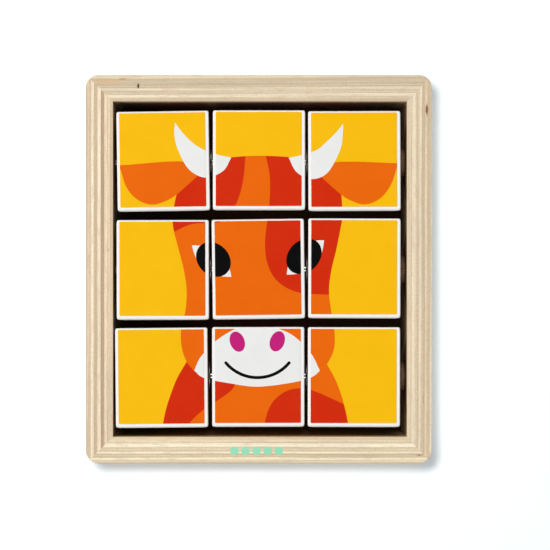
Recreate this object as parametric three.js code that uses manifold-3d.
// Turning-block picture puzzle.
//
// A frame of four mitred plywood bars holds three steel rods. Each rod carries three wooden blocks, and
// each block is an equilateral prism with a printed picture sheet on each of its three sides. A block turns
// on its rod, so that nine blocks turned alike show one whole picture.
//
// The puzzle lies on its back. Units are millimetres: X runs along the rods, Y up the picture and Z out of
// the front. The origin is the centre of the bottom of the whole object's box.

import * as THREE from 'three';
import { mergeVertices } from 'three/addons/utils/BufferGeometryUtils.js';
import Module from 'manifold-3d';

const wasm = await Module();
wasm.setup();

// ---- Driving dimensions ----

const FRAME_WIDTH = 187;
const FRAME_HEIGHT = 210;
const FRAME_DEPTH = 52;
const BAR_WIDTH = { left: 14.8, right: 13.5, top: 14.5, bottom: 14.4 };
const CORNER_RADIUS = 7;
const ARRIS_RADIUS = 0.8;
const MITRE_GLUE_LINE = 0.1;
const MITRE_OVERRUN = 12;

const REBATE_LEDGE = 7;
const PANEL_THICKNESS = 3;
const PANEL_RECESS = 0.4;
const PANEL_CLEARANCE = 0.25;

const BLOCK_LENGTH = 49.8;
const BLOCK_FACE_HEIGHT = 53.8;
const BLOCK_EDGE_RADIUS = 1.2;
const BLOCK_END_RADIUS = 0.6;
const BLOCK_BORE = 5.2;
const COLUMN_PITCH = 51.6;
const ROW_PITCH = 58.5;

const SHEET = { width: 46.4, height: 50.8, thickness: 0.15, glueLine: 0.05, shiftX: -0.2, shiftY: 0.6 };

const ROD_DIAMETER = 4;
const ROD_HOLE_DIAMETER = 4.3;
const ROD_HOLE_DEPTH = 8;
const ROD_END_PLAY = 0.4;

const WASHER = { outer: 15, inner: 4.5, thickness: 0.8, bevel: 0.15, standOff: 0.25 };
const SPACER = { outer: 15, inner: 4.6, thickness: 2.4, bevel: 0.3 };

const SCREW = { headDiameter: 5.2, headDepth: 1.6, shankDiameter: 2.5, length: 13, tipLength: 2 };
const SCREW_SLOT = { width: 0.7, length: 3.2, depth: 0.7 };
const SCREW_CLEARANCE = 0.15;
const SCREW_PITCH = 76;

const ROUND_SEGMENTS = 24;
const SCREW_SEGMENTS = 16;

// How far a cutting shape runs on past the surfaces that it cuts.
const CUT_OVERRUN = 1;

// How each block happens to lie on its rod: its drift along the rod, its slip across it, up the picture, and
// its small skew in degrees, which the loose bore allows. Rows run from the top, columns from the left.
const BLOCK_LIE = [
  [
    { drift: -0.1, slip: -0.1, skew: 0.85 },
    { drift: 0.1, slip: 0.4, skew: 0 },
    { drift: 0.05, slip: 0, skew: 0.2 },
  ],
  [
    { drift: -0.3, slip: -0.4, skew: 0.1 },
    { drift: -0.25, slip: 0.05, skew: 0.75 },
    { drift: 0.05, slip: 0.45, skew: -0.15 },
  ],
  [
    { drift: -0.9, slip: -0.2, skew: 0.5 },
    { drift: -0.3, slip: 0.25, skew: 0.1 },
    { drift: -0.2, slip: 0.15, skew: -0.1 },
  ],
];

const ROWS = ['top', 'middle', 'bottom'];
const COLUMNS = ['left', 'centre', 'right'];
const PICTURES = ['cow', 'pig', 'chick'];

// ---- Derived dimensions ----

const DEG = Math.PI / 180;
const THIRD_TURN = 120 * DEG;

// A rounded corner of the 60 degree triangle takes this much off each end of the sharp side.
const EDGE_SETBACK = BLOCK_EDGE_RADIUS * (Math.sqrt(3) - 1);
const SHARP_SIDE = BLOCK_FACE_HEIGHT + 2 * EDGE_SETBACK;
const INRADIUS = SHARP_SIDE / (2 * Math.sqrt(3));
const CORNER_CENTRE_RADIUS = 2 * (INRADIUS - BLOCK_EDGE_RADIUS);

const SHEET_TOP = INRADIUS + SHEET.glueLine + SHEET.thickness;
const ROD_Z = FRAME_DEPTH - SHEET_TOP;

const OPENING = {
  left: BAR_WIDTH.left - FRAME_WIDTH / 2,
  right: FRAME_WIDTH / 2 - BAR_WIDTH.right,
  bottom: BAR_WIDTH.bottom - FRAME_HEIGHT / 2,
  top: FRAME_HEIGHT / 2 - BAR_WIDTH.top,
};
const REBATE_DEPTH = PANEL_RECESS + PANEL_THICKNESS;

const columnX = (column) => (column - 1) * COLUMN_PITCH;
const rowY = (row) => (1 - row) * ROW_PITCH;
const blockX = (row, column) => columnX(column) + BLOCK_LIE[row][column].drift;
const blockY = (row, column) => rowY(row) + BLOCK_LIE[row][column].slip;

// The panel screws stand in the middle of the left and right ledges.
const SCREW_PLACES = [OPENING.left - REBATE_LEDGE / 2, OPENING.right + REBATE_LEDGE / 2].flatMap((x) =>
  [SCREW_PITCH, 0, -SCREW_PITCH].map((y) => ({ x, y })),
);

// ---- Materials ----

const plywood = new THREE.MeshStandardMaterial({ color: 0xe3cfae, roughness: 0.7, metalness: 0 });
const hardboard = new THREE.MeshStandardMaterial({ color: 0x6e4c33, roughness: 0.8, metalness: 0 });
const whitePaint = new THREE.MeshStandardMaterial({ color: 0xf1eeea, roughness: 0.45, metalness: 0 });
const steel = new THREE.MeshStandardMaterial({ color: 0xb9bbbe, roughness: 0.25, metalness: 1 });
const screwSteel = new THREE.MeshStandardMaterial({ color: 0x9c9da0, roughness: 0.35, metalness: 1 });
const fibre = new THREE.MeshStandardMaterial({ color: 0x8a7860, roughness: 0.7, metalness: 0 });
const pictureInk = {
  cow: new THREE.MeshStandardMaterial({ color: 0xf9bf14, roughness: 0.5, metalness: 0 }),
  pig: new THREE.MeshStandardMaterial({ color: 0x5bb6dc, roughness: 0.5, metalness: 0 }),
  chick: new THREE.MeshStandardMaterial({ color: 0x7fc25a, roughness: 0.5, metalness: 0 }),
};

// ---- Solids: only for cutting and joining ----

function solidOf(geometry) {
  const bare = geometry.clone();
  bare.deleteAttribute('normal');
  bare.deleteAttribute('uv');
  const merged = mergeVertices(bare);
  return new wasm.Manifold(new wasm.Mesh({
    numProp: 3,
    vertProperties: new Float32Array(merged.attributes.position.array),
    triVerts: new Uint32Array(merged.index.array),
  }));
}

function geometryOf(solid) {
  const mesh = solid.getMesh();
  const geometry = new THREE.BufferGeometry();
  geometry.setAttribute('position', new THREE.BufferAttribute(mesh.vertProperties, 3));
  geometry.setIndex(new THREE.BufferAttribute(mesh.triVerts, 1));
  return geometry;
}

// ---- Shared shapes ----

// Turns a geometry whose own axis is Y, such as a lathe or a cylinder, so that it runs along X.
const alongX = (geometry) => geometry.rotateZ(-Math.PI / 2);

// Turns a geometry whose own axis is Y so that it runs along Z.
const alongZ = (geometry) => geometry.rotateX(Math.PI / 2);

function roundBarX(diameter, length) {
  return alongX(new THREE.CylinderGeometry(diameter / 2, diameter / 2, length, ROUND_SEGMENTS));
}

function ringX({ outer, inner, thickness, bevel }) {
  const half = thickness / 2;
  const profile = [
    new THREE.Vector2(inner / 2, -half),
    new THREE.Vector2(outer / 2 - bevel, -half),
    new THREE.Vector2(outer / 2, bevel - half),
    new THREE.Vector2(outer / 2, half - bevel),
    new THREE.Vector2(outer / 2 - bevel, half),
    new THREE.Vector2(inner / 2, half),
    new THREE.Vector2(inner / 2, -half),
  ];
  return alongX(new THREE.LatheGeometry(profile, ROUND_SEGMENTS));
}

// A countersunk screw or, with a clearance, the hole that takes it. The head's flat lies at z 0 and the
// tip points to +Z. The tail of a hole runs past the head's flat, to cut cleanly through the panel's back.
function screwGeometry(clearance = 0, tail = 0) {
  const head = SCREW.headDiameter / 2 + clearance;
  const shank = SCREW.shankDiameter / 2 + clearance;
  const length = SCREW.length + clearance;
  const profile = [
    new THREE.Vector2(0, -tail),
    ...(tail > 0 ? [new THREE.Vector2(head, -tail)] : []),
    new THREE.Vector2(head, 0),
    new THREE.Vector2(shank, SCREW.headDepth),
    new THREE.Vector2(shank, length - SCREW.tipLength),
    new THREE.Vector2(0, length),
  ];
  return alongZ(new THREE.LatheGeometry(profile, SCREW_SEGMENTS));
}

// ---- Frame ----

function roundedRectangle(width, height, radius) {
  const x = width / 2;
  const y = height / 2;
  return new THREE.Shape()
    .absarc(x - radius, y - radius, radius, 0, Math.PI / 2)
    .absarc(radius - x, y - radius, radius, Math.PI / 2, Math.PI)
    .absarc(radius - x, radius - y, radius, Math.PI, 1.5 * Math.PI)
    .absarc(x - radius, radius - y, radius, 1.5 * Math.PI, 2 * Math.PI)
    .closePath();
}

function boxBetween(low, high) {
  const box = new THREE.BoxGeometry(high.x - low.x, high.y - low.y, high.z - low.z);
  return box.translate((low.x + high.x) / 2, (low.y + high.y) / 2, (low.z + high.z) / 2);
}

// The opening grown by a ledge on every side, between two heights.
function openingBox(ledge, lowZ, highZ) {
  return boxBetween(
    new THREE.Vector3(OPENING.left - ledge, OPENING.bottom - ledge, lowZ),
    new THREE.Vector3(OPENING.right + ledge, OPENING.top + ledge, highZ),
  );
}

// All four bars in one piece, before the mitres part them: the block that they fill, less the opening,
// the rebate for the panel, the rod holes and the screws' pilot holes.
function uncutFrame() {
  const outline = roundedRectangle(FRAME_WIDTH, FRAME_HEIGHT, CORNER_RADIUS);
  const outside = new THREE.ExtrudeGeometry(outline, {
    depth: FRAME_DEPTH - 2 * ARRIS_RADIUS,
    bevelThickness: ARRIS_RADIUS,
    bevelSize: ARRIS_RADIUS,
    bevelOffset: -ARRIS_RADIUS,
    bevelSegments: 3,
    curveSegments: 4,
  }).translate(0, 0, ARRIS_RADIUS);

  let frame = solidOf(outside)
    .subtract(solidOf(openingBox(0, -CUT_OVERRUN, FRAME_DEPTH + CUT_OVERRUN)))
    .subtract(solidOf(openingBox(REBATE_LEDGE, -CUT_OVERRUN, REBATE_DEPTH)));

  const holeLength = OPENING.right - OPENING.left + 2 * ROD_HOLE_DEPTH;
  const holeCentre = (OPENING.right + OPENING.left) / 2;
  for (const row of ROWS.keys()) {
    const holes = roundBarX(ROD_HOLE_DIAMETER, holeLength).translate(holeCentre, rowY(row), ROD_Z);
    frame = frame.subtract(solidOf(holes));
  }
  for (const { x, y } of SCREW_PLACES) {
    frame = frame.subtract(solidOf(screwGeometry(SCREW_CLEARANCE).translate(x, y, PANEL_RECESS)));
  }
  return frame;
}

// One slanting side of a wedge: the mitre from an outer corner of the frame to an inner one, run on past
// both corners and moved half a glue line towards the bar.
function mitreSide(outer, inner, towardsBar) {
  const run = inner.clone().sub(outer).normalize();
  const offset = new THREE.Vector2(-run.y, run.x);
  offset.multiplyScalar(Math.sign(offset.dot(towardsBar)) * (MITRE_GLUE_LINE / 2));
  return [
    outer.clone().addScaledVector(run, -MITRE_OVERRUN).add(offset),
    inner.clone().addScaledVector(run, MITRE_OVERRUN).add(offset),
  ];
}

// The wedge of the frame's outline that one bar fills, between its two mitres.
function mitreWedge(outerStart, innerStart, innerEnd, outerEnd) {
  const along = outerEnd.clone().sub(outerStart);
  const [startOut, startIn] = mitreSide(outerStart, innerStart, along);
  const [endOut, endIn] = mitreSide(outerEnd, innerEnd, along.clone().negate());
  const wedge = new THREE.Shape([startOut, startIn, endIn, endOut]);
  const depth = FRAME_DEPTH + 2 * CUT_OVERRUN;
  return new THREE.ExtrudeGeometry(wedge, { depth, bevelEnabled: false }).translate(0, 0, -CUT_OVERRUN);
}

function frameBars() {
  const corner = (x, y) => new THREE.Vector2(x, y);
  const outer = {
    topLeft: corner(-FRAME_WIDTH / 2, FRAME_HEIGHT / 2),
    topRight: corner(FRAME_WIDTH / 2, FRAME_HEIGHT / 2),
    bottomLeft: corner(-FRAME_WIDTH / 2, -FRAME_HEIGHT / 2),
    bottomRight: corner(FRAME_WIDTH / 2, -FRAME_HEIGHT / 2),
  };
  const inner = {
    topLeft: corner(OPENING.left, OPENING.top),
    topRight: corner(OPENING.right, OPENING.top),
    bottomLeft: corner(OPENING.left, OPENING.bottom),
    bottomRight: corner(OPENING.right, OPENING.bottom),
  };
  const ends = {
    top: ['topLeft', 'topRight'],
    bottom: ['bottomRight', 'bottomLeft'],
    left: ['bottomLeft', 'topLeft'],
    right: ['topRight', 'bottomRight'],
  };
  const frame = uncutFrame();
  return Object.entries(ends).map(([side, [start, end]]) => {
    const wedge = mitreWedge(outer[start], inner[start], inner[end], outer[end]);
    return named(`frame_bar_${side}`, geometryOf(frame.intersect(solidOf(wedge))), plywood);
  });
}

function backPanel() {
  const board = openingBox(REBATE_LEDGE - PANEL_CLEARANCE, PANEL_RECESS, REBATE_DEPTH);
  let panel = solidOf(board);
  for (const { x, y } of SCREW_PLACES) {
    const hole = screwGeometry(SCREW_CLEARANCE, CUT_OVERRUN).translate(x, y, PANEL_RECESS);
    panel = panel.subtract(solidOf(hole));
  }
  return named('back_panel', geometryOf(panel), hardboard);
}

function panelScrews() {
  const slot = new THREE.BoxGeometry(SCREW_SLOT.length, SCREW_SLOT.width, 2 * SCREW_SLOT.depth);
  const crossSlot = new THREE.BoxGeometry(SCREW_SLOT.width, SCREW_SLOT.length, 2 * SCREW_SLOT.depth);
  const recess = solidOf(slot).add(solidOf(crossSlot));
  const screw = geometryOf(solidOf(screwGeometry()).subtract(recess));
  return SCREW_PLACES.map(({ x, y }, i) =>
    named(`panel_screw_${i + 1}`, screw.clone(), screwSteel, x, y, PANEL_RECESS),
  );
}

// ---- Rods and what is on them ----

function rod(row) {
  const length = OPENING.right - OPENING.left + 2 * ROD_HOLE_DEPTH - ROD_END_PLAY;
  const centre = (OPENING.right + OPENING.left) / 2;
  return named(`rod_${ROWS[row]}`, roundBarX(ROD_DIAMETER, length), steel, centre, rowY(row), ROD_Z);
}

// One thin washer lies beside the left block of a row and one beside the right block, and a thick spacer
// takes up the slack at the right end.
function washers(row) {
  const offset = BLOCK_LENGTH / 2 + WASHER.standOff + WASHER.thickness / 2;
  const y = rowY(row);
  const lastBlockEnd = blockX(row, 2) + BLOCK_LENGTH / 2;
  return [
    named(`washer_${ROWS[row]}_left`, ringX(WASHER), steel, blockX(row, 0) + offset, y, ROD_Z),
    named(`washer_${ROWS[row]}_right`, ringX(WASHER), steel, blockX(row, 2) - offset, y, ROD_Z),
    named(`end_spacer_${ROWS[row]}`, ringX(SPACER), fibre, (lastBlockEnd + OPENING.right) / 2, y, ROD_Z),
  ];
}

// ---- Blocks ----

// The block's section in its own Y and Z, with one flat side on top and the rod's axis at its centre.
function blockSection() {
  const section = new THREE.Shape();
  for (const vertexAngle of [30 * DEG, 150 * DEG, 270 * DEG]) {
    section.absarc(
      CORNER_CENTRE_RADIUS * Math.cos(vertexAngle),
      CORNER_CENTRE_RADIUS * Math.sin(vertexAngle),
      BLOCK_EDGE_RADIUS,
      vertexAngle - 60 * DEG,
      vertexAngle + 60 * DEG,
    );
  }
  return section.closePath();
}

function blockGeometry() {
  const prism = new THREE.ExtrudeGeometry(blockSection(), {
    depth: BLOCK_LENGTH - 2 * BLOCK_END_RADIUS,
    bevelThickness: BLOCK_END_RADIUS,
    bevelSize: BLOCK_END_RADIUS,
    bevelOffset: -BLOCK_END_RADIUS,
    bevelSegments: 3,
    curveSegments: 3,
  }).translate(0, 0, BLOCK_END_RADIUS - BLOCK_LENGTH / 2);
  const sectionToWorld = new THREE.Matrix4().makeBasis(
    new THREE.Vector3(0, 1, 0),
    new THREE.Vector3(0, 0, 1),
    new THREE.Vector3(1, 0, 0),
  );
  prism.applyMatrix4(sectionToWorld);
  const bore = roundBarX(BLOCK_BORE, BLOCK_LENGTH + 2 * CUT_OVERRUN);
  return geometryOf(solidOf(prism).subtract(solidOf(bore)));
}

// A block with its three picture sheets. Side 0 faces up, and a third of a turn brings up the next side,
// whose picture is then upright too.
function block(row, column) {
  const place = `${ROWS[row]}_${COLUMNS[column]}`;
  const { skew } = BLOCK_LIE[row][column];
  const turning = new THREE.Group();
  turning.position.set(blockX(row, column), blockY(row, column), ROD_Z);
  turning.rotation.z = skew * DEG;
  turning.add(named(`block_${place}`, sharedBlock.clone(), whitePaint));
  PICTURES.forEach((picture, side) => {
    const mount = new THREE.Group();
    mount.rotation.x = -side * THIRD_TURN;
    const sheet = new THREE.BoxGeometry(SHEET.width, SHEET.height, SHEET.thickness);
    const z = SHEET_TOP - SHEET.thickness / 2;
    const name = `${picture}_sheet_${place}`;
    mount.add(named(name, sheet, pictureInk[picture], SHEET.shiftX, SHEET.shiftY, z));
    turning.add(mount);
  });
  return turning;
}

// ---- Assembly ----

function named(name, geometry, material, x = 0, y = 0, z = 0) {
  const mesh = new THREE.Mesh(geometry, material);
  mesh.name = name;
  mesh.position.set(x, y, z);
  return mesh;
}

const sharedBlock = blockGeometry();

const group = new THREE.Group();
group.add(...frameBars(), backPanel(), ...panelScrews());
for (const row of ROWS.keys()) {
  group.add(rod(row), ...washers(row));
  for (const column of COLUMNS.keys()) {
    group.add(block(row, column));
  }
}

export default group;
